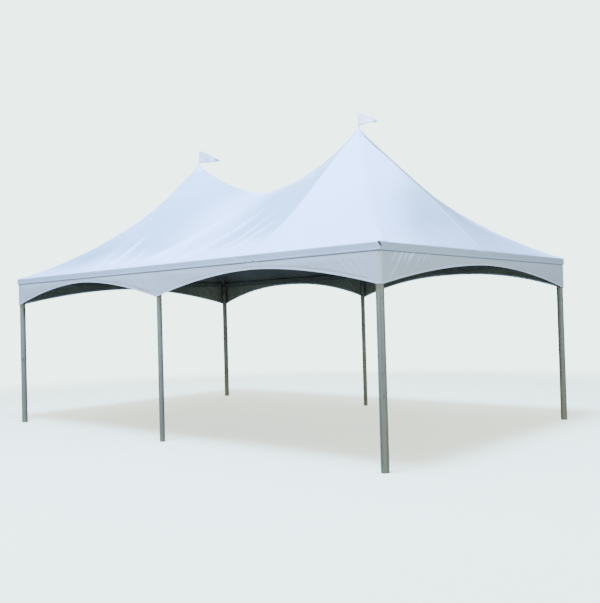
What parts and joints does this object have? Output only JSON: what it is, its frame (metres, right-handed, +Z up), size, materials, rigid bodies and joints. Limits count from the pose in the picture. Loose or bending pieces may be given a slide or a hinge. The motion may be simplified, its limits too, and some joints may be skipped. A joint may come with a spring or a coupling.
{
  "type": "marquee tent",
  "caption": "Open marquee tent: peaked white fabric roof that sags between masts on a slim aluminium frame, with arched valances, peak caps and pennants, for outdoor shelter.",
  "frame": {"origin": "on the ground under the middle of the roof", "axes": "+X along the long side, to the right seen from the front; +Z up; the front is at -Y"},
  "size_m": [7.9246, 5.0246, 4.868],
  "materials": {
    "roof_fabric": "coated polyester, white, slight sheen",
    "valance_fabric": "coated polyester, white, matt",
    "aluminium": "mill finish, dull",
    "leg_aluminium": "mill finish, weathered, dirt on the lower part",
    "bracket_metal": "cast, matt",
    "cap_plastic": "satin white",
    "pennant_fabric": "light woven, white"
  },
  "bodies": {
    "root": {"bracket_back_left": "bracket_metal", "bracket_back_middle": "bracket_metal", "bracket_back_right": "bracket_metal", "bracket_front_left": "bracket_metal", "bracket_front_middle": "bracket_metal", "bracket_front_right": "bracket_metal", "eave_beam_back_left": "aluminium", "eave_beam_back_right": "aluminium", "eave_beam_front_left": "aluminium", "eave_beam_front_right": "aluminium", "eave_beam_left": "aluminium", "eave_beam_right": "aluminium", "flagpole_left": "aluminium", "flagpole_right": "aluminium", "leg_back_left": "leg_aluminium", "leg_back_middle": "leg_aluminium", "leg_back_right": "leg_aluminium", "leg_front_left": "leg_aluminium", "leg_front_middle": "leg_aluminium", "leg_front_right": "leg_aluminium", "mast_left": "aluminium", "mast_right": "aluminium", "peak_cap_left": "cap_plastic", "peak_cap_right": "cap_plastic", "pennant_left": "pennant_fabric", "pennant_right": "pennant_fabric", "rafter_hub_left": "bracket_metal", "rafter_hub_right": "bracket_metal", "rafter_left_to_back_left": "aluminium", "rafter_left_to_back_middle": "aluminium", "rafter_left_to_front_left": "aluminium", "rafter_left_to_front_middle": "aluminium", "rafter_right_to_back_middle": "aluminium", "rafter_right_to_back_right": "aluminium", "rafter_right_to_front_middle": "aluminium", "rafter_right_to_front_right": "aluminium", "roof_canopy": "roof_fabric", "valance_back_left": "valance_fabric", "valance_back_right": "valance_fabric", "valance_front_left": "valance_fabric", "valance_front_right": "valance_fabric", "valance_left": "valance_fabric", "valance_right": "valance_fabric"}
  },
  "joints": []
}
